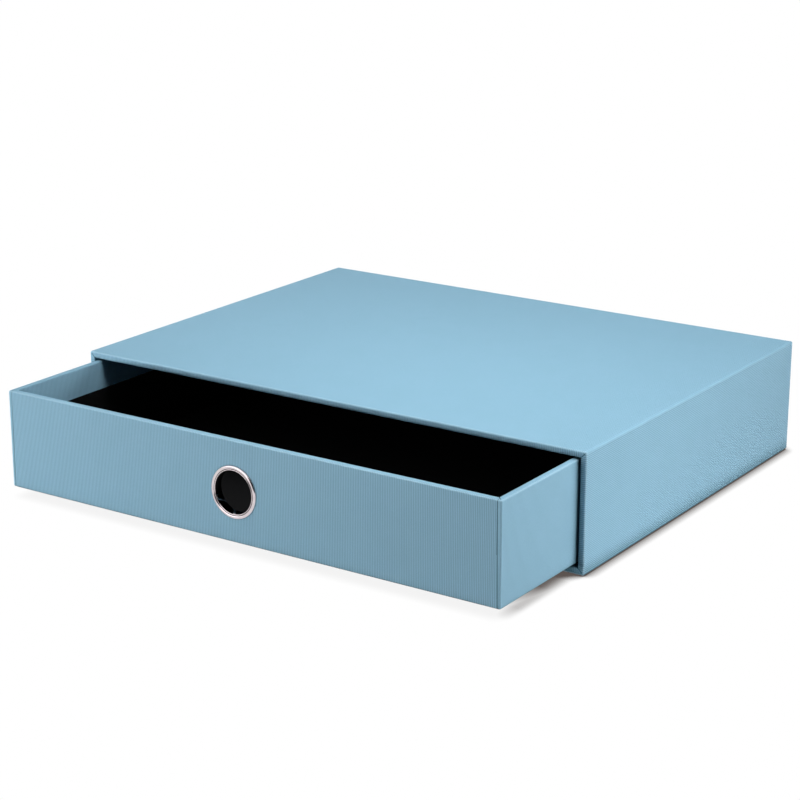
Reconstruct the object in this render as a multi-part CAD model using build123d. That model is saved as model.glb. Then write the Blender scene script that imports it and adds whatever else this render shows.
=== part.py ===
from build123d import *
import os

# A file box with one drawer. A greyboard case, open at the front, holds a greyboard tray that
# slides on a thin lining board. Both are covered in ribbed paper and lined in black, and a metal
# finger ring goes through the drawer's front.
# Origin: the centre of the case's underside. +X is to the right as seen from the front, the mouth
# faces -Y, and +Z is up. All sizes are in millimetres.

# The case, outside
CASE_WIDTH = 330.0
CASE_DEPTH = 248.0
CASE_HEIGHT = 67.0

# Sheet materials
BOARD = 3.0  # greyboard
COVER = 0.35  # ribbed covering paper
LINING = 0.2  # black lining paper
STAY = 0.15  # paper tape that holds two boards together at a corner
GLIDE_BOARD = 1.2  # black board on the case's floor, which the drawer slides on

# Folds and laps
EDGE_ROUND = 1.0  # outside radius of a covered edge
MOUTH_ROUND = 0.8  # radius of a covered edge on the inside of a mouth or rim
TURN_IN = 16.6  # cover turned inside, measured from the mouth or rim
TURN_UNDER = 14.0  # cover turned over an outside edge and hidden by a sheet
SHEET_INSET = 1.5  # a closing sheet stops this far short of the edges
STAY_LEG = 12.0  # width of each leg of a corner tape
GLIDE_SETBACK = 6.0  # the glide board starts this far inside the mouth
GLIDE_SIDE_GAP = 0.5  # and stops this far short of the case's lining

# Running clearances of the drawer
SIDE_CLEARANCE = 1.2
TOP_CLEARANCE = 0.9
GLIDE_CLEARANCE = 0.3
BACK_CLEARANCE = 1.0

# Where the drawer stands at rest: its front is this far out of the mouth
DRAWER_PULL = 73.0

# The finger ring, a drawn metal eyelet closed over a washer
RING_OFFSET = -2.2  # how far the ring stands from the middle of the front, in x
RING_FLANGE_RADIUS = 14.6
RING_FLANGE_WIDTH = 2.7  # from the flange's edge to the bore
RING_SHEET = 0.4  # wall of the barrel
RING_DOME = 1.25  # height of the rounded flange above the paper
RING_LIP = 0.45  # height of the barrel's mouth above the paper
RING_CURL = 1.5  # width of the rear curl, from the bore outward
WASHER_WIDTH = 2.1  # from its hole to its edge
WASHER_THICKNESS = 0.5
HOLE_CLEARANCE = 0.2  # radial, between the barrel and its hole

# Sizes that follow
WALL = COVER + STAY + BOARD + COVER  # a covered wall at its mouth, from paper to paper
CASE_SKIN = 2 * COVER  # a lap with a sheet over it
CASE_BACK = CASE_SKIN + BOARD + LINING
GLIDE_TOP = COVER + WALL + GLIDE_BOARD
DRAWER_WIDTH = CASE_WIDTH - 2 * WALL - 2 * SIDE_CLEARANCE
DRAWER_DEPTH = CASE_DEPTH - CASE_BACK - BACK_CLEARANCE
DRAWER_BASE = GLIDE_TOP + GLIDE_CLEARANCE
DRAWER_HEIGHT = CASE_HEIGHT - WALL - TOP_CLEARANCE - DRAWER_BASE
DRAWER_FRONT = -CASE_DEPTH / 2 - DRAWER_PULL
RING_HEIGHT = DRAWER_BASE + DRAWER_HEIGHT / 2
RING_BORE_RADIUS = RING_FLANGE_RADIUS - RING_FLANGE_WIDTH
BARREL_RADIUS = RING_BORE_RADIUS + RING_SHEET
HOLE_RADIUS = BARREL_RADIUS + HOLE_CLEARANCE
WASHER_RADIUS = HOLE_RADIUS + WASHER_WIDTH


def block(low, high):
    """A plain box between two corners."""
    sizes = [b - a for a, b in zip(low, high)]
    return Pos(*low) * Box(*sizes, align=(Align.MIN, Align.MIN, Align.MIN))


def inset(corners, sides, base, top):
    """The two corners of a box, moved in from its sides, its base and its top."""
    low, high = corners
    new_low = (low[0] + sides, low[1] + sides, low[2] + base)
    new_high = (high[0] - sides, high[1] - sides, high[2] - top)
    return new_low, new_high


def rounded_block(corners, radius):
    solid = block(*corners)
    return fillet(solid.edges(), radius)


def cup(outside, hollow, radius, mouth_radius):
    """A rounded block with a hollow cut down from its top, and the edge of that mouth rounded."""
    hollow_low, hollow_high = hollow
    top = outside[1][2]
    above = (hollow_high[0], hollow_high[1], top + radius)
    solid = rounded_block(outside, radius) - block(hollow_low, above)
    mouth = [
        edge
        for edge in solid.edges()
        if abs(edge.center().Z - top) < mouth_radius / 2
        and abs(edge.center().X) < hollow_high[0] + mouth_radius / 2
        and hollow_low[1] - mouth_radius / 2 < edge.center().Y < hollow_high[1] + mouth_radius / 2
    ]
    return fillet(mouth, mouth_radius)


def tray_layers(size_x, size_y, size_z, sheet_under):
    """The nested boxes of a covered board tray, centred on x and y, closed at 0 and open at the top.

    sheet_under is the thickness of a closing sheet on the outside of the wall at low y.
    """
    wrap = ((-size_x / 2, -size_y / 2 + sheet_under, COVER), (size_x / 2, size_y / 2, size_z))
    fold = inset(wrap, COVER, COVER, COVER)
    core = inset(fold, STAY, 0, 0)
    hollow = inset(core, BOARD, BOARD, 0)
    return {"wrap": wrap, "fold": fold, "core": core, "hollow": hollow}


def boards(layers):
    """The five boards of a tray: two full-length walls, two walls between them, and the base."""
    core_low, core_high = layers["core"]
    hollow_low, hollow_high = layers["hollow"]
    tray = cup(layers["core"], layers["hollow"], EDGE_ROUND - COVER, MOUTH_ROUND - COVER)
    rim = core_high[2]
    floor = hollow_low[2]
    return {
        "low_y": tray & block(core_low, (core_high[0], hollow_low[1], rim)),
        "high_y": tray & block((core_low[0], hollow_high[1], core_low[2]), core_high),
        "low_x": tray & block(
            (core_low[0], hollow_low[1], core_low[2]), (hollow_low[0], hollow_high[1], rim)
        ),
        "high_x": tray & block(
            (hollow_high[0], hollow_low[1], core_low[2]), (core_high[0], hollow_high[1], rim)
        ),
        "base": tray & block(
            (hollow_low[0], hollow_low[1], core_low[2]), (hollow_high[0], hollow_high[1], floor)
        ),
    }


def corner_stays(layers):
    """Four angled tapes round the outside of the board corners, one solid each."""
    fold_low, fold_high = layers["fold"]
    sleeve = rounded_block(layers["fold"], EDGE_ROUND - COVER)
    sleeve -= rounded_block(layers["core"], EDGE_ROUND - COVER)
    bottom = fold_low[2] + EDGE_ROUND
    top = fold_high[2] - EDGE_ROUND
    stays = []
    for x_from, x_to in ((fold_low[0], fold_low[0] + STAY_LEG), (fold_high[0] - STAY_LEG, fold_high[0])):
        for y_from, y_to in ((fold_low[1], fold_low[1] + STAY_LEG), (fold_high[1] - STAY_LEG, fold_high[1])):
            stays.append(sleeve & block((x_from, y_from, bottom), (x_to, y_to, top)))
    return stays


def wrap_paper(layers, sheet_under):
    """The ribbed cover: round the walls, over the rim, down the inside and under the base."""
    wrap_low, wrap_high = layers["wrap"]
    fold_low, fold_high = layers["fold"]
    hollow_low, hollow_high = layers["hollow"]
    lined = inset(layers["hollow"], COVER, 0, 0)
    paper = cup(layers["wrap"], lined, EDGE_ROUND, MOUTH_ROUND)
    paper -= cup(layers["fold"], layers["hollow"], EDGE_ROUND - COVER, MOUTH_ROUND - COVER)
    paper -= block(hollow_low, (hollow_high[0], hollow_high[1], wrap_high[2] - TURN_IN))
    paper -= block(
        (wrap_low[0] + TURN_UNDER, wrap_low[1] + TURN_UNDER, wrap_low[2] - COVER),
        (wrap_high[0] - TURN_UNDER, wrap_high[1] - TURN_UNDER, fold_low[2]),
    )
    if sheet_under:
        paper -= block(
            (wrap_low[0] + TURN_UNDER, wrap_low[1] - COVER, wrap_low[2] + TURN_UNDER),
            (wrap_high[0] - TURN_UNDER, fold_low[1], wrap_high[2] - TURN_UNDER),
        )
    return paper


def base_sheet(layers):
    """The flat sheet that closes the outside of the base."""
    wrap_low, wrap_high = layers["wrap"]
    low = (wrap_low[0] + SHEET_INSET, wrap_low[1] + SHEET_INSET, wrap_low[2] - COVER)
    high = (wrap_high[0] - SHEET_INSET, wrap_high[1] - SHEET_INSET, wrap_low[2])
    return block(low, high)


def wall_lining(layers):
    """Black paper round the inside of the four walls, up to the end of the turned-in cover."""
    hollow_low, hollow_high = layers["hollow"]
    top = layers["wrap"][1][2] - TURN_IN
    outside = block(hollow_low, (hollow_high[0], hollow_high[1], top))
    inner_low, inner_high = inset(layers["hollow"], LINING, 0, 0)
    return outside - block(inner_low, (inner_high[0], inner_high[1], top + LINING))


def base_lining(layers):
    """Black paper on the inside of the base, within the wall lining."""
    low, high = inset(layers["hollow"], LINING, 0, 0)
    return block(low, (high[0], high[1], low[2] + LINING))


def finger_ring():
    """The eyelet, turned about Z with its flange on the plane z = 0 and its barrel below."""
    rear = -(WALL + WASHER_THICKNESS)
    dome_middle = (RING_FLANGE_RADIUS + BARREL_RADIUS) / 2
    lip_middle = RING_BORE_RADIUS + RING_SHEET / 2
    curl_radius = RING_CURL / 2
    flange_edge = (RING_FLANGE_RADIUS, 0)
    barrel_mouth = (BARREL_RADIUS, RING_LIP)
    bore_mouth = (RING_BORE_RADIUS, RING_LIP)
    bore_rear = (RING_BORE_RADIUS, rear)
    curl_edge = (RING_BORE_RADIUS + RING_CURL, rear)
    barrel_rear = (BARREL_RADIUS, rear)
    barrel_front = (BARREL_RADIUS, 0)
    outline = [
        ThreePointArc(flange_edge, (dome_middle, RING_DOME), barrel_mouth),
        ThreePointArc(barrel_mouth, (lip_middle, RING_LIP + RING_SHEET / 4), bore_mouth),
        Line(bore_mouth, bore_rear),
        ThreePointArc(bore_rear, (RING_BORE_RADIUS + curl_radius, rear - curl_radius), curl_edge),
        Line(curl_edge, barrel_rear),
        Line(barrel_rear, barrel_front),
        Line(barrel_front, flange_edge),
    ]
    profile = Plane.XZ * make_face(outline)
    return revolve(profile, Axis.Z)


def ring_washer():
    """The flat washer behind the drawer's front, which the barrel is curled over."""
    plate = Cylinder(WASHER_RADIUS, WASHER_THICKNESS)
    plate -= Cylinder(HOLE_RADIUS, WASHER_THICKNESS)
    return Pos(0, 0, -WALL - WASHER_THICKNESS / 2) * plate


def finger_hole():
    """Cutter for the hole through the drawer's front, on the plane z = 0 of the ring."""
    return Cylinder(HOLE_RADIUS, 4 * WALL)


def glide_board():
    """The lining board on the case's floor, in the row's own frame."""
    half_width = CASE_WIDTH / 2 - WALL - GLIDE_SIDE_GAP
    front = -CASE_DEPTH / 2 + GLIDE_SETBACK
    back = CASE_DEPTH / 2 - CASE_BACK - GLIDE_SIDE_GAP
    return block((-half_width, front, GLIDE_TOP - GLIDE_BOARD), (half_width, back, GLIDE_TOP))


def case_underside_sheet():
    """The flat sheet that the case stands on."""
    half_width = CASE_WIDTH / 2 - SHEET_INSET
    half_depth = CASE_DEPTH / 2 - SHEET_INSET
    return block((-half_width, -half_depth, 0), (half_width, half_depth, COVER))


def build_case():
    """The case's pieces: its tray lies on its back, with the mouth towards -Y."""
    layers = tray_layers(CASE_WIDTH, CASE_HEIGHT, CASE_DEPTH, sheet_under=COVER)
    place = Pos(0, CASE_DEPTH / 2, CASE_HEIGHT / 2) * Rot(90, 0, 0)
    panels = boards(layers)
    return {
        "case_bottom_board": place * panels["low_y"],
        "case_top_board": place * panels["high_y"],
        "case_left_board": place * panels["low_x"],
        "case_right_board": place * panels["high_x"],
        "case_back_board": place * panels["base"],
        "case_corner_stays": [place * stay for stay in corner_stays(layers)],
        "case_wrap_paper": place * wrap_paper(layers, sheet_under=COVER),
        "case_back_paper": place * base_sheet(layers),
        "case_underside_paper": case_underside_sheet(),
        "case_wall_lining": place * wall_lining(layers),
        "case_back_lining": place * base_lining(layers),
        "case_glide_board": glide_board(),
    }


def build_drawer():
    """The drawer's pieces, at the opening that it has at rest."""
    layers = tray_layers(DRAWER_WIDTH, DRAWER_DEPTH, DRAWER_HEIGHT, sheet_under=0)
    place = Pos(0, DRAWER_FRONT + DRAWER_DEPTH / 2, DRAWER_BASE)
    ring_place = Pos(RING_OFFSET, DRAWER_FRONT, RING_HEIGHT) * Rot(90, 0, 0)
    hole = ring_place * finger_hole()
    panels = boards(layers)
    return {
        "drawer_front_board": place * panels["low_y"] - hole,
        "drawer_back_board": place * panels["high_y"],
        "drawer_left_board": place * panels["low_x"],
        "drawer_right_board": place * panels["high_x"],
        "drawer_base_board": place * panels["base"],
        "drawer_corner_stays": [place * stay for stay in corner_stays(layers)],
        "drawer_wrap_paper": place * wrap_paper(layers, sheet_under=0) - hole,
        "drawer_underside_paper": place * base_sheet(layers),
        "drawer_wall_lining": place * wall_lining(layers) - hole,
        "drawer_floor_lining": place * base_lining(layers),
        "finger_ring": ring_place * finger_ring(),
        "ring_back_washer": ring_place * ring_washer(),
    }


def write(node, shape):
    """One STEP file for a node; a list of solids becomes one compound."""
    if isinstance(shape, list):
        shape = Compound(children=shape)
    export_step(shape, f"parts/{node}.step")


os.makedirs("parts", exist_ok=True)
for node, shape in {**build_case(), **build_drawer()}.items():
    write(node, shape)
print(f"drawer {DRAWER_WIDTH:.2f} x {DRAWER_DEPTH:.2f} x {DRAWER_HEIGHT:.2f}, base at {DRAWER_BASE:.2f}")
print(f"ring centre at height {RING_HEIGHT:.3f}, front face at y {DRAWER_FRONT:.2f}")
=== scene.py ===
import math
from collections import namedtuple

import bmesh
import bpy
import numpy as np
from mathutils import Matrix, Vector

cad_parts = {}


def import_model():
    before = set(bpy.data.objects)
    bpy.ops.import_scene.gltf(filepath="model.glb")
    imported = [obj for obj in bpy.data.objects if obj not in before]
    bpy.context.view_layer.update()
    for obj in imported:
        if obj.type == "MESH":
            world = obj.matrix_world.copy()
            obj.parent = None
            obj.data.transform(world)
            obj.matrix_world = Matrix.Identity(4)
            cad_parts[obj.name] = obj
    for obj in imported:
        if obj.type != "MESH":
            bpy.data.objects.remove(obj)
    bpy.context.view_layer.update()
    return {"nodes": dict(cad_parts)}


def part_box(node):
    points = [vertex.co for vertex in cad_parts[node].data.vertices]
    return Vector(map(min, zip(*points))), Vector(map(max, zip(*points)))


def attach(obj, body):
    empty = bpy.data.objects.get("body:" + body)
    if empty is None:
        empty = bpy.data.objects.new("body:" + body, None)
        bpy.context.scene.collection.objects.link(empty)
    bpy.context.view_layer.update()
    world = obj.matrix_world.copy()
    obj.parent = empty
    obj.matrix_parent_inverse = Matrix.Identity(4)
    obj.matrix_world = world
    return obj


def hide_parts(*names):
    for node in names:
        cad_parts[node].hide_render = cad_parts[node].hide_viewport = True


# The looks of a file box with one drawer: ribbed blue covering paper, black lining paper,
# greyboard walls and a nickel finger ring. Lengths are in metres, in the frame of the solids:
# +X is to the right as seen from the front, the case's mouth faces -Y, and +Z is up.

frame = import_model()
MM = 0.001

# Covering paper
COVER = 0.35 * MM
EDGE_ROUND = 1.0 * MM  # outside radius of a covered edge
MOUTH_ROUND = 0.8 * MM  # radius of a covered edge on the inside of a rim
TURN_UNDER = 14.0 * MM  # width of the laps under the base
RIB_PITCH = 1.02 * MM
RIB_DEPTH = 0.18 * MM
RIB_SHAPE = (0.0, 0.78, 1.0, 0.78)  # heights across one rib, starting in the groove
MITRE_DEPTH = 0.30 * MM  # groove where two turned-in edges meet at a rim corner
MITRE_WIDTH = 0.45 * MM  # half the width of that groove
LAP_DEPTH = 0.24 * MM  # groove along the edge of the drawer's front sheet
LAP_WIDTH = 0.50 * MM
LAP_TOP = 2.7 * MM  # distance of that groove from the corner, at the rim
LAP_BOTTOM = 1.7 * MM  # and at the base
CORNER_HEIGHT = 0.6  # of the plain paper round an upright corner, where a rib's crest is 1
COVER_REACH = 12 * MM  # paper with other things this near it gets painted shade
ARC_STEPS = 5
RIM_STEPS = 6
CORNER_STEPS = 6
FRONT_WALL = 0  # place of a tray's front in its list of walls
SHARP_ANGLE = math.radians(50)
WELD = 0.001 * MM

# Finger ring
RING_TURNS = 160
RING_ARC_STEPS = 10
FLANGE_WIDTH = 2.7 * MM  # from the flange's edge to the bore
RING_SHEET = 0.4 * MM
WASHER_WIDTH = 2.1 * MM  # from the washer's hole to its edge
DOME_HEIGHT = 0.95 * MM
LIP_WIDTH = 0.7 * MM  # the rolled mouth of the barrel, inside the flange
LIP_HEIGHT = 0.75 * MM
LIP_GROOVE = 0.1 * MM  # height of the groove between the flange and the lip
CURL_WIDTH = 1.5 * MM
GROOVE_REACH = 0.7 * MM  # metal with other metal this near it gets painted shade

# Camera
CAMERA_PLACE = Vector((0.6550, -1.0165, 0.4085))
CAMERA_AZIMUTH = math.radians(34.026)
CAMERA_TILT = math.radians(17.221)
CAMERA_LENS = 96.53  # in millimetres, as is the sensor
SENSOR_WIDTH = 36


def srgb(red, green, blue):
    """A colour written from 0 to 255, in the linear values that shaders take."""
    shares = [value / 255 for value in (red, green, blue)]
    linear = [s / 12.92 if s <= 0.04045 else ((s + 0.055) / 1.055) ** 2.4 for s in shares]
    return (*linear, 1.0)


# Colours
WHITE = (1.0, 1.0, 1.0, 1.0)
PAPER_DARK = srgb(150, 194, 218)
PAPER_LIGHT = srgb(161, 204, 227)
PAPER_CLOUD = srgb(149, 195, 216)
# painted shade for the rib grooves, the lap groove and the mitres
PAPER_GROOVE_PAINTED_SHADE = srgb(62, 108, 126)
PAPER_NEAR_PAINTED_SHADE = srgb(38, 80, 94)  # painted shade where other surfaces stand close by
# painted highlight on the outside rounding of the rim
PAPER_PAINTED_HIGHLIGHT = srgb(192, 225, 242)
LINING_DARK = srgb(13, 13, 14)
LINING_LIGHT = srgb(27, 27, 28)
LINING_CLOUD = srgb(20, 20, 22)
BOARD_DARK = srgb(136, 131, 122)
BOARD_LIGHT = srgb(168, 163, 152)
BOARD_SPECK = srgb(92, 86, 78)
TAPE_DARK = srgb(164, 124, 82)
TAPE_LIGHT = srgb(192, 154, 108)
NICKEL_DARK = srgb(206, 196, 200)
NICKEL_LIGHT = srgb(216, 207, 209)
# painted shade for the ring's grooves, barrel and rear curl
NICKEL_PAINTED_SHADE = srgb(40, 36, 36)
STEEL_DARK = srgb(150, 150, 150)
STEEL_LIGHT = srgb(196, 196, 194)
NEAR_SAMPLES = 16
SHUT_SHARE = 0.4  # open share of the view around a point that counts as a tight corner

# Floor
FLOOR_SIZE = 8.0
FLOOR_DROP = 0.05 * MM  # keeps the floor out of the sheet that stands on it
FLOOR_COLOUR = srgb(112, 106, 102)  # as other surfaces see it
SHADOW_COLOUR = srgb(92, 84, 80)
SHADOW_REACH = 9 * MM
SHADOW_SAMPLES = 32
SHADOW_OPEN = 0.88  # open share of the view around a floor point that has no shadow
SHADOW_LEAST = 0.12
SHADOW_START = 14 * MM  # from here behind the drawer's front the shadow grows
SHADOW_FULL = 50 * MM  # and here it is full
WEDGE_WIDTH = 10 * MM  # strip under the drawer's right side where the shadow starts at the front
WEDGE_LENGTH = 20 * MM

# Lights
WORLD_LEVEL = 0.01
LIGHTS = {
    # name: (place, width, height, level); the low ones stand half under the floor
    "over_front": ((0.15, -0.15, 0.5), 0.2, 0.2, 0.71),
    "over_left": ((-0.2, 0.2, 0.8), 0.4, 0.4, 0.36),
    "right_high": ((0.8, 0.5, 0.4), 0.3, 0.3, 0.33),
    "right_low": ((0.5, -0.12, 0.0), 0.3, 0.1, 0.85),
    "front_low": ((-0.6, -1.1, 0.0), 0.6, 0.1, 1.28),
    "left_low": ((-0.6, -0.4, 0.0), 0.3, 0.1, 0.20),
    "left": ((-1.4, 0.2, 0.0), 0.4, 0.1, 0.45),
    "back": ((0.0, 1.4, 0.0), 0.4, 0.1, 0.60),
}
LIGHT_TARGET = Vector((0.05, -0.1, 0.03))

# Cards round the finger ring
RING_CARDS = {
    # name: (degrees from the front to the right, degrees up, distance, width, height, strength)
    "dark_right": (58, 22, 0.5, 1.2, 0.5, 0.0),
    "dark_back": (165, 40, 0.9, 1.8, 1.3, 0.0),
    "bright_front": (-26, 27, 0.5, 0.67, 0.36, 2.2),
}


# ---------------------------------------------------------------- meshes


def skin(rings, closed, holes=()):
    """Points and quads over a row of closed rings. holes are pairs (ring, place) with no quad."""
    count, size = rings.shape[:2]
    left_out = set(holes)
    faces = []
    for i in range(count if closed else count - 1):
        after = (i + 1) % count
        for j in range(size):
            if (i, j) in left_out:
                continue
            k = (j + 1) % size
            faces.append((i * size + j, after * size + j, after * size + k, i * size + k))
    if not closed:
        faces.append(tuple(range(size)))
        faces.append(tuple(range((count - 1) * size, count * size)))
    return rings.reshape(-1, 3), faces


def make_piece(name, points, faces, material, values):
    """A welded, outward-facing mesh object. values are named numbers kept at each point."""
    mesh = bpy.data.meshes.new(name)
    mesh.from_pydata(points.tolist(), [], faces)
    for key, numbers in values.items():
        mesh.attributes.new(key, "FLOAT", "POINT").data.foreach_set("value", numbers.ravel())
    work = bmesh.new()
    work.from_mesh(mesh)
    bmesh.ops.remove_doubles(work, verts=work.verts, dist=WELD)
    bmesh.ops.recalc_face_normals(work, faces=work.faces)
    for face in work.faces:
        face.smooth = True
    work.to_mesh(mesh)
    work.free()
    mesh.set_sharp_from_angle(angle=SHARP_ANGLE)
    mesh.materials.append(material)
    piece = bpy.data.objects.new(name, mesh)
    bpy.context.scene.collection.objects.link(piece)
    return piece


def section_arc(inset, height, radius, start, end, steps):
    """Rows (inset, height, out, up) on an arc; 0 degrees points out of the wall and 90 up."""
    rows = []
    for i in range(steps + 1):
        angle = math.radians(start + (end - start) * i / steps)
        out, up = math.cos(angle), math.sin(angle)
        rows.append((inset - radius * out, height + radius * up, out, up))
    return rows


Section = namedtuple("Section", "inset height out up mitred hole_row back_row back_hole_row")
Hole = namedtuple("Hole", "place height radius")


def cover_section(wall, top, turn_in, middle):
    """The paper's section: its ribbed face from the lap to the turned-in edge, then its back.

    Each row has its inset from the wall's outside, its height and the way its face looks. Two
    rows of the face and two of the back meet at the middle's height, where a hole can open.
    """
    face = [(TURN_UNDER, 0, 0, -1)]
    face += section_arc(EDGE_ROUND, EDGE_ROUND, EDGE_ROUND, -90, 0, ARC_STEPS)
    hole_row = len(face)
    face += [(0, middle, 1, 0)] * 2
    face += section_arc(EDGE_ROUND, top - EDGE_ROUND, EDGE_ROUND, 0, 90, ARC_STEPS)
    flat = wall - MOUTH_ROUND - EDGE_ROUND
    face += [(EDGE_ROUND + flat * i / RIM_STEPS, top, 0, 1) for i in range(1, RIM_STEPS)]
    face += section_arc(wall - MOUTH_ROUND, top - MOUTH_ROUND, MOUTH_ROUND, 90, 180, ARC_STEPS)
    face += [(wall, top - turn_in, -1, 0)]
    back = [
        (wall - COVER, top - turn_in, 0, 0),
        (wall - COVER, top - MOUTH_ROUND, 0, 0),
        (wall - MOUTH_ROUND, top - COVER, 0, 0),
        (EDGE_ROUND, top - COVER, 0, 0),
        (COVER, top - EDGE_ROUND, 0, 0),
    ]
    back_hole_row = len(face) + len(back)
    back += [(COVER, middle, 0, 0)] * 2
    back += [(COVER, EDGE_ROUND, 0, 0), (EDGE_ROUND, COVER, 0, 0), (TURN_UNDER, COVER, 0, 0)]
    inset, height, out, up = np.array(face + back).T
    mitred = inset > EDGE_ROUND + WELD
    return Section(inset, height, out, up, mitred, hole_row, len(face), back_hole_row)


def rib_columns(length, lapped):
    """Places across one wall, their rib heights, and how far each follows the slanted lap line."""
    half = length / 2 - EDGE_ROUND
    ribbed = length / 2 - (LAP_TOP + LAP_BOTTOM + LAP_WIDTH) / 2 if lapped else half
    count = round(2 * ribbed / RIB_PITCH) * len(RIB_SHAPE)
    places = np.linspace(-ribbed, ribbed, count + 1)
    heights = np.tile(RIB_SHAPE, count // len(RIB_SHAPE) + 1)[: count + 1]
    slant = np.zeros(count + 1)
    if not lapped:
        heights[0] = heights[-1] = CORNER_HEIGHT
        return places, heights, slant
    lap = 1 - LAP_DEPTH / RIB_DEPTH
    heights[0] = heights[-1] = lap
    slant[0], slant[-1] = -1, 1
    step = RIB_PITCH / len(RIB_SHAPE)
    beside = ribbed + LAP_WIDTH + np.array([0, step])
    edge = [lap, CORNER_HEIGHT, CORNER_HEIGHT]
    places = np.concatenate(([-half], -beside[::-1], places, beside, [half]))
    heights = np.concatenate((edge[::-1], heights, edge))
    slant = np.concatenate(([0, -1, -1], slant, [1, 1, 0]))
    return places, heights, slant


def hole_half_gap(hole, place):
    """Half the height of the round hole at a place along its wall."""
    return math.sqrt(max(hole.radius**2 - (place - hole.place) ** 2, 0.0))


def open_hole(section, half_gap):
    """The section's heights with a gap where the hole is, half_gap up and down from its middle."""
    height = section.height.copy()
    for row, way in (
        (section.hole_row, -1),
        (section.hole_row + 1, 1),
        (section.back_hole_row, 1),
        (section.back_hole_row + 1, -1),
    ):
        height[row] += way * half_gap
    if half_gap:
        turned_edge = [section.back_row - 1, section.back_row]
        height[turned_edge] = np.maximum(height[turned_edge], height[section.back_hole_row])
    return height


def wall_ring(section, length, place, rib, shift, half_gap):
    """The section at one place across a wall: its places, insets and heights, and its rib values."""
    reach = length / 2 - section.inset
    near = np.where(section.mitred, np.clip((abs(place) - reach) / MITRE_WIDTH + 1, 0, 1), 0.0)
    sink = np.maximum(MITRE_DEPTH * near, RIB_DEPTH * (1 - rib))
    inset = section.inset + section.out * sink
    height = open_hole(section, half_gap) - section.up * sink
    held = section.mitred & (abs(place) > reach)
    places = np.where(held, math.copysign(1, place) * (length / 2 - inset), place + shift)
    return places, inset, height, np.minimum(rib, 1 - 2 * near)


def corner_rings(section, corner, outward, next_outward):
    """The section round an upright corner: on an arc, and on the mitre where it is turned in."""
    sink = np.where(section.mitred, MITRE_DEPTH, RIB_DEPTH * (1 - CORNER_HEIGHT))
    inset = section.inset + section.out * sink
    height = section.height - section.up * sink
    arc_centre = corner - (outward + next_outward) * EDGE_ROUND
    on_mitre = corner - np.outer(inset, outward + next_outward)
    rings = []
    for step in range(1, CORNER_STEPS):
        angle = math.pi / 2 * step / CORNER_STEPS
        direction = outward * math.cos(angle) + next_outward * math.sin(angle)
        on_arc = arc_centre + np.outer(np.maximum(EDGE_ROUND - inset, 0), direction)
        flat = np.where(section.mitred[:, None], on_mitre, on_arc)
        rings.append(np.column_stack((flat, height)))
    return rings


def tray_cover(sizes, wall, turn_in, lapped_walls=(), hole=None):
    """Points, faces and point values of the paper on a tray that opens at +Z.

    The tray's lowest corner is the origin. Its walls are at low y, high x, high y and low x.
    hole is in the wall at low y, with its place measured from the wall's middle.
    """
    size_x, size_y, top = sizes
    section = cover_section(wall, top, turn_in, hole.height if hole else top / 2)
    centre = np.array((size_x / 2, size_y / 2))
    walls = (
        (size_x, size_y, np.array((1.0, 0.0)), np.array((0.0, -1.0))),
        (size_y, size_x, np.array((0.0, 1.0)), np.array((1.0, 0.0))),
        (size_x, size_y, np.array((-1.0, 0.0)), np.array((0.0, 1.0))),
        (size_y, size_x, np.array((0.0, -1.0)), np.array((-1.0, 0.0))),
    )
    corner_ribs = np.where(section.mitred, -1.0, CORNER_HEIGHT)
    rings, ribs, half_gaps = [], [], []
    for side, (length, across, along, outward) in enumerate(walls):
        wall_middle = centre + outward * across / 2
        for place, rib, lean in zip(*rib_columns(length, side in lapped_walls)):
            half_gap = hole_half_gap(hole, place) if hole and side == FRONT_WALL else 0.0
            shift = lean * (LAP_BOTTOM - LAP_TOP) * (section.height / top - 0.5)
            places, inset, height, row_ribs = wall_ring(section, length, place, rib, shift, half_gap)
            flat = wall_middle + np.outer(places, along) - np.outer(inset, outward)
            rings.append(np.column_stack((flat, height)))
            ribs.append(row_ribs)
            half_gaps.append(half_gap)
        next_outward = walls[(side + 1) % len(walls)][-1]
        rounding = corner_rings(section, wall_middle + along * (length / 2), outward, next_outward)
        rings += rounding
        ribs += [corner_ribs] * len(rounding)
        half_gaps += [0.0] * len(rounding)
    points, faces = skin_with_hole(np.array(rings), np.array(half_gaps), section)
    fold = np.clip(2 * section.out * section.up, 0, 1)  # 1 on the outside rounding of the rim
    return points, faces, {"rib": np.array(ribs), "fold": np.tile(fold, len(rings))}


def skin_with_hole(rings, half_gaps, section):
    """Leaves the hole's quads out and closes its edge between the paper's face and its back."""
    count, size = rings.shape[:2]
    face_low = section.hole_row
    back_high = section.back_hole_row
    holes = [(i, row) for i in range(count) for row in (face_low, back_high)]
    points, faces = skin(rings, closed=True, holes=holes)
    for i in np.nonzero(np.maximum(half_gaps, np.roll(half_gaps, -1)))[0]:
        here = i * size
        after = (i + 1) % count * size
        for face_row, back_row in ((face_low, back_high + 1), (face_low + 1, back_high)):
            faces.append((here + face_row, after + face_row, after + back_row, here + back_row))
    return points, faces


def ribbed_sheet(width, length, thickness):
    """A flat sheet from the origin, with ribs on its lower face that run along y."""
    places = np.linspace(0, width, round(width / RIB_PITCH) * len(RIB_SHAPE) + 1)
    heights = np.resize(RIB_SHAPE, len(places))
    heights[0] = heights[-1] = 1
    sink = RIB_DEPTH * (1 - heights)
    rings = np.zeros((len(places), 4, 3))
    rings[:, :, 0] = places[:, None]
    rings[:, 1:3, 1] = length
    rings[:, :2, 2] = sink[:, None]
    rings[:, 2:, 2] = thickness
    ribs = np.repeat(heights[:, None], 4, axis=1)
    points, faces = skin(rings, closed=False)
    return points, faces, {"rib": ribs, "fold": np.zeros_like(ribs)}


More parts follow.
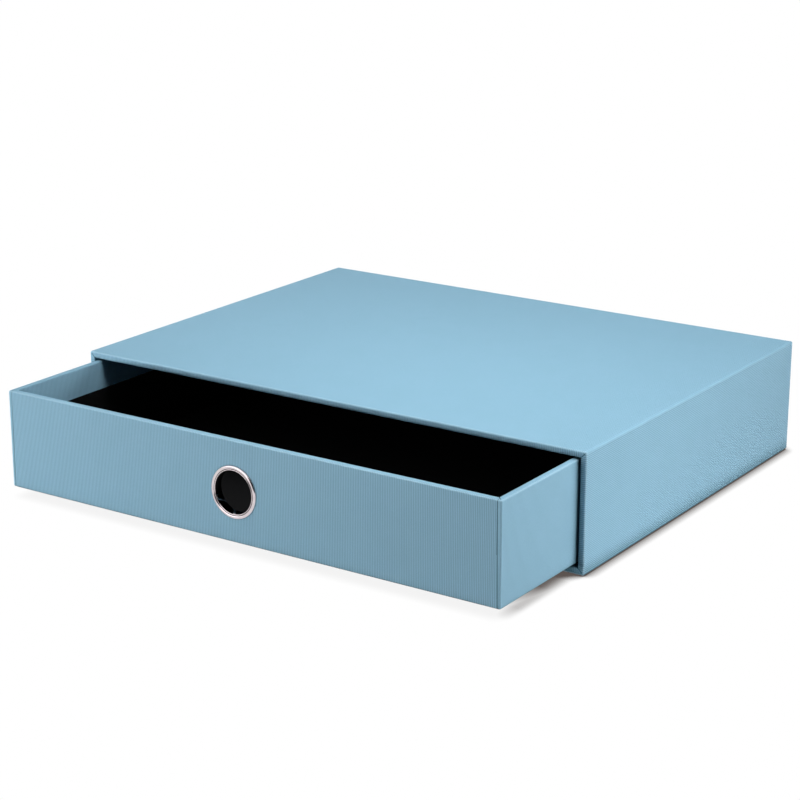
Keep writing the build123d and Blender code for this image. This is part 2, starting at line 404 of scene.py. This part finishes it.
def section_bow(start, top, end, steps):
    """Points of a rounded hump from start to end whose crest has the height of top."""
    points = []
    for i in range(steps + 1):
        turn = math.pi * i / steps
        share = (1 - math.cos(turn)) / 2
        base = start[1] + (end[1] - start[1]) * share
        width = start[0] + (end[0] - start[0]) * share
        points.append((width, base + (top - (start[1] + end[1]) / 2) * math.sin(turn)))
    return points


def ring_profile(flange, bore, barrel, rear):
    """The ring's section (radius, height over the paper), from the flange's edge to the curl."""
    groove = bore + LIP_WIDTH
    profile = section_bow((flange, 0), DOME_HEIGHT, (groove, LIP_GROOVE), RING_ARC_STEPS)
    profile += section_bow((groove, LIP_GROOVE), LIP_HEIGHT, (bore, LIP_GROOVE / 2), RING_ARC_STEPS)[1:]
    curl = CURL_WIDTH / 2
    for i in range(RING_ARC_STEPS + 1):
        angle = math.pi * (1 + i / RING_ARC_STEPS)
        profile.append((bore + curl + curl * math.cos(angle), rear + curl * math.sin(angle)))
    profile += [(barrel, rear), (barrel, 0)]
    return profile


def finger_ring_mesh():
    """The drawn nickel ring, turned about the axis of its hole, in the frame of the solids."""
    low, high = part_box("finger_ring")
    washer_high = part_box("ring_back_washer")[1]
    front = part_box("drawer_wrap_paper")[0].y
    flange = (high.x - low.x) / 2
    middle_x = (high.x + low.x) / 2
    middle_z = (high.z + low.z) / 2
    rear = front - washer_high.y
    bore = flange - FLANGE_WIDTH
    profile = ring_profile(flange, bore, bore + RING_SHEET, rear)
    rings = []
    for i in range(RING_TURNS):
        angle = 2 * math.pi * i / RING_TURNS
        rings.append([
            (middle_x + r * math.sin(angle), front - h, middle_z + r * math.cos(angle))
            for r, h in profile
        ])
    inside = [1.0 if h < 0 else 0.0 for r, h in profile]
    points, faces = skin(np.array(rings), closed=True)
    return points, faces, {"inside": np.tile(inside, RING_TURNS)}


# ---------------------------------------------------------------- materials


def new_material(name):
    material = bpy.data.materials.new(name)
    material.use_nodes = True
    tree = material.node_tree
    return material, tree, tree.nodes["Principled BSDF"]


def add(tree, kind, **settings):
    node = tree.nodes.new(kind)
    for key, value in settings.items():
        setattr(node, key, value)
    return node


def noise(tree, size, detail=2.0, stretch=(1, 1, 1)):
    """Noise whose spots are about size metres across, stretched along some axes."""
    place = add(tree, "ShaderNodeTexCoord")
    mapping = add(tree, "ShaderNodeMapping")
    mapping.inputs["Scale"].default_value = [1 / (size * s) for s in stretch]
    tree.links.new(place.outputs["Object"], mapping.inputs["Vector"])
    texture = add(tree, "ShaderNodeTexNoise")
    texture.inputs["Scale"].default_value = 1.0
    texture.inputs["Detail"].default_value = detail
    tree.links.new(mapping.outputs["Vector"], texture.inputs["Vector"])
    return texture.outputs["Fac"]


def spread(tree, value, low, high, new_low, new_high):
    """Maps a value from one range to another, and stops at its ends."""
    node = add(tree, "ShaderNodeMapRange")
    ends = {"From Min": low, "From Max": high, "To Min": new_low, "To Max": new_high}
    for name, number in ends.items():
        node.inputs[name].default_value = number
    tree.links.new(value, node.inputs["Value"])
    return node.outputs["Result"]


def math_node(tree, operation, a, b):
    node = add(tree, "ShaderNodeMath", operation=operation)
    for socket, value in zip(node.inputs, (a, b)):
        if isinstance(value, (int, float)):
            socket.default_value = value
        else:
            tree.links.new(value, socket)
    return node.outputs["Value"]


MIX_A = 6  # the mix node's colour sockets come after those for numbers and vectors
MIX_B = 7
MIX_RESULT = 2


def mix_colour(tree, factor, a, b):
    """Goes from colour a to colour b with the factor, a share from 0 to 1."""
    node = add(tree, "ShaderNodeMix", data_type="RGBA")
    tree.links.new(factor, node.inputs["Factor"])
    for socket, value in ((node.inputs[MIX_A], a), (node.inputs[MIX_B], b)):
        if isinstance(value, tuple):
            socket.default_value = value
        else:
            tree.links.new(value, socket)
    return node.outputs[MIX_RESULT]


def bump(tree, shader, height, depth):
    node = add(tree, "ShaderNodeBump")
    node.inputs["Distance"].default_value = depth
    tree.links.new(height, node.inputs["Height"])
    tree.links.new(node.outputs["Normal"], shader.inputs["Normal"])


def point_value(tree, name):
    node = add(tree, "ShaderNodeAttribute", attribute_name=name)
    return node.outputs["Fac"]


def seen_rays(tree):
    """1 for what the camera, mirrors and glass show, and 0 for what only gets light."""
    rays = add(tree, "ShaderNodeLightPath")
    seen = math_node(tree, "MAXIMUM", rays.outputs["Is Camera Ray"], rays.outputs["Is Glossy Ray"])
    return math_node(tree, "MAXIMUM", seen, rays.outputs["Is Transmission Ray"])


def nearness(tree, reach, open_share, most, samples=NEAR_SAMPLES):
    """Goes from 0 in the open to most in a tight corner, looking as far as reach."""
    near = add(tree, "ShaderNodeAmbientOcclusion", samples=samples)
    near.inputs["Distance"].default_value = reach
    return spread(tree, near.outputs["AO"], SHUT_SHARE, open_share, most, 0)


def ribbed_cover_material():
    """Dyed paper with pressed ribs and fine grain, with painted shade in the grooves and near other
    surfaces, and a painted highlight on the rim.
    """
    material, tree, shader = new_material("ribbed_cover_blue")
    grain = noise(tree, 0.5 * MM, detail=3)
    cloud = noise(tree, 14 * MM, detail=2)
    tone = mix_colour(tree, spread(tree, grain, 0.3, 0.7, 0, 1), PAPER_DARK, PAPER_LIGHT)
    tone = mix_colour(tree, spread(tree, cloud, 0.35, 0.65, 0, 0.25), tone, PAPER_CLOUD)
    # painted shade in the rib grooves, deepest in the lap groove and the mitres
    groove = spread(tree, point_value(tree, "rib"), -0.8, 0.9, 1, 0)
    tone = mix_colour(tree, groove, tone, PAPER_GROOVE_PAINTED_SHADE)
    # painted shade where other surfaces stand near the paper
    tone = mix_colour(tree, nearness(tree, COVER_REACH, 0.86, 0.85), tone, PAPER_NEAR_PAINTED_SHADE)
    # painted highlight on the rim's outside rounding, broken up by the grain
    painted_rim_highlight = math_node(tree, "MULTIPLY", point_value(tree, "fold"), spread(tree, grain, 0.35, 0.6, 0.2, 0.45))
    tone = mix_colour(tree, painted_rim_highlight, tone, PAPER_PAINTED_HIGHLIGHT)
    tree.links.new(tone, shader.inputs["Base Color"])
    tree.links.new(spread(tree, grain, 0.3, 0.7, 0.52, 0.7), shader.inputs["Roughness"])
    shader.inputs["Specular IOR Level"].default_value = 0.35
    bump(tree, shader, grain, 0.02 * MM)
    return material


def black_paper_material():
    """Matt black lining paper with short grey fibres in it."""
    material, tree, shader = new_material("black_lining_paper")
    fibres = noise(tree, 0.3 * MM, detail=4, stretch=(1, 2.5, 1))
    cloud = noise(tree, 20 * MM)
    tone = mix_colour(tree, spread(tree, fibres, 0.35, 0.75, 0, 1), LINING_DARK, LINING_LIGHT)
    tone = mix_colour(tree, spread(tree, cloud, 0.4, 0.7, 0, 0.4), tone, LINING_CLOUD)
    tree.links.new(tone, shader.inputs["Base Color"])
    tree.links.new(spread(tree, fibres, 0.3, 0.7, 0.8, 0.95), shader.inputs["Roughness"])
    shader.inputs["Specular IOR Level"].default_value = 0.12
    bump(tree, shader, fibres, 0.03 * MM)
    return material


def greyboard_material():
    """Grey recycled board: speckled, with pale and dark fibres."""
    material, tree, shader = new_material("greyboard_raw")
    fibres = noise(tree, 0.5 * MM, detail=5, stretch=(3, 1, 1))
    specks = noise(tree, 1.1 * MM, detail=1)
    tone = mix_colour(tree, spread(tree, fibres, 0.35, 0.65, 0, 1), BOARD_DARK, BOARD_LIGHT)
    tone = mix_colour(tree, spread(tree, specks, 0.64, 0.74, 0, 0.8), tone, BOARD_SPECK)
    tree.links.new(tone, shader.inputs["Base Color"])
    tree.links.new(spread(tree, fibres, 0.3, 0.7, 0.85, 0.97), shader.inputs["Roughness"])
    bump(tree, shader, fibres, 0.06 * MM)
    return material


def stay_tape_material():
    """Brown gummed tape with long fibres and a faint calendered gloss."""
    material, tree, shader = new_material("kraft_stay_tape")
    fibres = noise(tree, 0.25 * MM, detail=4, stretch=(1, 1, 6))
    tone = mix_colour(tree, spread(tree, fibres, 0.35, 0.65, 0, 1), TAPE_DARK, TAPE_LIGHT)
    tree.links.new(tone, shader.inputs["Base Color"])
    tree.links.new(spread(tree, fibres, 0.3, 0.7, 0.5, 0.7), shader.inputs["Roughness"])
    bump(tree, shader, fibres, 0.02 * MM)
    return material


def ring_material():
    """Polished nickel with a faint warm tone and polishing marks, with painted shade in its grooves and on
    the barrel and rear curl behind the paper's face.
    """
    material, tree, shader = new_material("ring_nickel")
    marks = noise(tree, 0.5 * MM, detail=4)
    smears = noise(tree, 5 * MM)
    tone = mix_colour(tree, spread(tree, smears, 0.35, 0.65, 0, 1), NICKEL_DARK, NICKEL_LIGHT)
    # painted shade in the ring's grooves and where it meets the paper
    tone = mix_colour(tree, nearness(tree, GROOVE_REACH, 0.85, 1), tone, NICKEL_PAINTED_SHADE)
    # painted shade on the barrel and the rear curl, behind the paper's face
    inside = spread(tree, point_value(tree, "inside"), 0, 0.6, 0, 0.9)
    tone = mix_colour(tree, inside, tone, NICKEL_PAINTED_SHADE)
    tree.links.new(tone, shader.inputs["Base Color"])
    tree.links.new(spread(tree, marks, 0.35, 0.7, 0.07, 0.14), shader.inputs["Roughness"])
    shader.inputs["Metallic"].default_value = 1.0
    return material


def washer_material():
    """Plain brushed steel."""
    material, tree, shader = new_material("washer_steel")
    marks = noise(tree, 0.12 * MM, detail=3, stretch=(12, 1, 1))
    tone = mix_colour(tree, spread(tree, marks, 0.3, 0.7, 0, 1), STEEL_DARK, STEEL_LIGHT)
    tree.links.new(tone, shader.inputs["Base Color"])
    tree.links.new(spread(tree, marks, 0.3, 0.7, 0.28, 0.45), shader.inputs["Roughness"])
    shader.inputs["Metallic"].default_value = 1.0
    bump(tree, shader, marks, 0.005 * MM)
    return material


# ---------------------------------------------------------------- pieces


def node_sizes(node):
    low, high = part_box(node)
    return low, high - low


def case_cover(material):
    """The case's ribbed cover. Its tray lies on its back, so the tray's +Z is -Y here."""
    low, size = node_sizes("case_wrap_paper")
    lining_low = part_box("case_wall_lining")[0]
    wall = lining_low.x - low.x + COVER
    turn_in = lining_low.y - low.y
    points, faces, values = tray_cover((size.x, size.z, size.y), wall, turn_in)
    back = low.y + size.y
    placed = np.column_stack((low.x + points[:, 0], back - points[:, 2], low.z + points[:, 1]))
    return make_piece("case_ribbed_cover", placed, faces, material, values)


def drawer_cover(material):
    """The drawer's ribbed cover, with the hole for the finger ring in its front."""
    low, size = node_sizes("drawer_wrap_paper")
    lining_low, lining_size = node_sizes("drawer_wall_lining")
    washer_low, washer_size = node_sizes("ring_back_washer")
    wall = lining_low.x - low.x + COVER
    turn_in = size.z - (lining_low.z + lining_size.z - low.z)
    hole_height = washer_low.z + washer_size.z / 2 - low.z
    hole_radius = washer_size.z / 2 - WASHER_WIDTH
    hole = Hole(washer_low.x + washer_size.x / 2, hole_height, hole_radius)
    points, faces, values = tray_cover((size.x, size.y, size.z), wall, turn_in, (FRONT_WALL,), hole)
    placed = points + np.array(low)
    return make_piece("drawer_ribbed_cover", placed, faces, material, values)


def case_back_sheet(material):
    low, size = node_sizes("case_back_paper")
    points, faces, values = ribbed_sheet(size.x, size.z, size.y)
    back = low.y + size.y
    placed = np.column_stack((low.x + points[:, 0], back - points[:, 2], low.z + points[:, 1]))
    return make_piece("case_back_sheet", placed, faces, material, values)


def case_underside_sheet(material):
    low, size = node_sizes("case_underside_paper")
    points, faces, values = ribbed_sheet(size.x, size.y, size.z)
    return make_piece("case_underside_sheet", points + np.array(low), faces, material, values)


def dress_case(cover):
    for build, node in (
        (case_cover, "case_wrap_paper"),
        (case_back_sheet, "case_back_paper"),
        (case_underside_sheet, "case_underside_paper"),
    ):
        piece = build(cover)
        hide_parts(node)
        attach(piece, "case")


def dress_drawer(cover, nickel):
    paper = drawer_cover(cover)
    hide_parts("drawer_wrap_paper")
    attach(paper, "drawer")
    points, faces, values = finger_ring_mesh()
    ring = make_piece("finger_ring_turned", points, faces, nickel, values)
    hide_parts("finger_ring")
    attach(ring, "drawer")
    return paper


def paint_nodes(materials):
    """Gives each kept solid the material of its piece."""
    for name, node in frame["nodes"].items():
        for word, material in materials:
            if word in name:
                node.data.materials.clear()
                node.data.materials.append(material)
                break


# ---------------------------------------------------------------- floor, lights and camera


def floor_material(drawer):
    """White to the camera, with a shadow right beside and under what stands on it."""
    material, tree, shader = new_material("floor_white")
    tree.nodes.remove(shader)
    diffuse = add(tree, "ShaderNodeBsdfDiffuse")
    diffuse.inputs["Color"].default_value = FLOOR_COLOUR
    shade = nearness(tree, SHADOW_REACH, SHADOW_OPEN, 1, samples=SHADOW_SAMPLES)
    place = add(tree, "ShaderNodeTexCoord", object=drawer)
    axes = add(tree, "ShaderNodeSeparateXYZ")
    tree.links.new(place.outputs["Object"], axes.inputs["Vector"])
    low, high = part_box("drawer_wrap_paper")
    start = low.y + SHADOW_START
    behind = spread(tree, axes.outputs["Y"], start, low.y + SHADOW_FULL, SHADOW_LEAST, 1)
    side = spread(tree, axes.outputs["X"], high.x - WEDGE_WIDTH, high.x, 0, 1)
    wedge = spread(tree, axes.outputs["Y"], low.y, low.y + WEDGE_LENGTH, 0, 1)
    share = math_node(tree, "MAXIMUM", behind, math_node(tree, "MULTIPLY", side, wedge))
    tone = mix_colour(tree, math_node(tree, "MULTIPLY", shade, share), WHITE, SHADOW_COLOUR)
    seen_floor = add(tree, "ShaderNodeEmission")
    tree.links.new(tone, seen_floor.inputs["Color"])
    mix = add(tree, "ShaderNodeMixShader")
    tree.links.new(seen_rays(tree), mix.inputs["Fac"])
    tree.links.new(diffuse.outputs["BSDF"], mix.inputs[1])
    tree.links.new(seen_floor.outputs["Emission"], mix.inputs[2])
    tree.links.new(mix.outputs["Shader"], tree.nodes["Material Output"].inputs["Surface"])
    return material


def floor(drawer):
    half = FLOOR_SIZE / 2
    outline = ((-half, -half), (half, -half), (half, half), (-half, half))
    corners = [(x, y, -FLOOR_DROP) for x, y in outline]
    mesh = bpy.data.meshes.new("floor")
    mesh.from_pydata(corners, [], [(0, 1, 2, 3)])
    mesh.materials.append(floor_material(drawer))
    plane = bpy.data.objects.new("floor", mesh)
    bpy.context.scene.collection.objects.link(plane)


def world():
    """An even white room: its plain level lights the object, and it looks white itself."""
    sky = bpy.data.worlds.new("studio")
    sky.use_nodes = True
    tree = sky.node_tree
    background = tree.nodes["Background"]
    tree.links.new(spread(tree, seen_rays(tree), 0, 1, WORLD_LEVEL, 1), background.inputs["Strength"])
    background.inputs["Color"].default_value = WHITE
    bpy.context.scene.world = sky


def lights():
    """Soft boxes that mirrors don't show. A level of 1 shows a white face turned to it as white."""
    for name, (place, width, height, level) in LIGHTS.items():
        away = Vector(place) - LIGHT_TARGET
        lamp = bpy.data.lights.new(name, "AREA")
        lamp.shape = "RECTANGLE"
        lamp.size = width
        lamp.size_y = height
        lamp.energy = level * (math.pi * away.length) ** 2
        holder = bpy.data.objects.new(name, lamp)
        holder.location = place
        holder.rotation_euler = away.to_track_quat("Z", "Y").to_euler()
        holder.visible_camera = False
        holder.visible_glossy = False
        bpy.context.scene.collection.objects.link(holder)


def ring_cards(centre):
    """Dark and bright cards that only mirrors show, for the reflections in the finger ring."""
    for name, (to_right, upward, distance, width, height, strength) in RING_CARDS.items():
        material, tree, shader = new_material(name)
        tree.nodes.remove(shader)
        glow = add(tree, "ShaderNodeEmission")
        glow.inputs["Strength"].default_value = strength
        tree.links.new(glow.outputs["Emission"], tree.nodes["Material Output"].inputs["Surface"])
        turn = math.radians(to_right)
        rise = math.radians(upward)
        level = math.cos(rise)
        toward = Vector((math.sin(turn) * level, -math.cos(turn) * level, math.sin(rise)))
        x = width / 2
        y = height / 2
        mesh = bpy.data.meshes.new(name)
        mesh.from_pydata([(-x, -y, 0), (x, -y, 0), (x, y, 0), (-x, y, 0)], [], [(0, 1, 2, 3)])
        mesh.materials.append(material)
        card = bpy.data.objects.new(name, mesh)
        card.location = centre + toward * distance
        card.rotation_euler = toward.to_track_quat("Z", "Y").to_euler()
        card.visible_camera = False
        card.visible_diffuse = False
        card.visible_shadow = False
        card.visible_transmission = False
        bpy.context.scene.collection.objects.link(card)


def camera():
    data = bpy.data.cameras.new("camera")
    data.lens = CAMERA_LENS
    data.sensor_width = SENSOR_WIDTH
    view = bpy.data.objects.new("camera", data)
    view.location = CAMERA_PLACE
    view.rotation_euler = (math.pi / 2 - CAMERA_TILT, 0, CAMERA_AZIMUTH)
    bpy.context.scene.collection.objects.link(view)
    bpy.context.scene.camera = view


black = black_paper_material()
cover = ribbed_cover_material()
dress_case(cover)
drawer_paper = dress_drawer(cover, ring_material())
paint_nodes((
    ("lining", black),
    ("glide_board", black),
    ("drawer_underside", black),
    ("board", greyboard_material()),
    ("stays", stay_tape_material()),
    ("washer", washer_material()),
))
floor(drawer_paper)
world()
lights()
ring_low, ring_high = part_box("finger_ring")
ring_cards((ring_low + ring_high) / 2)
camera()
bpy.context.scene.view_settings.view_transform = "Standard"
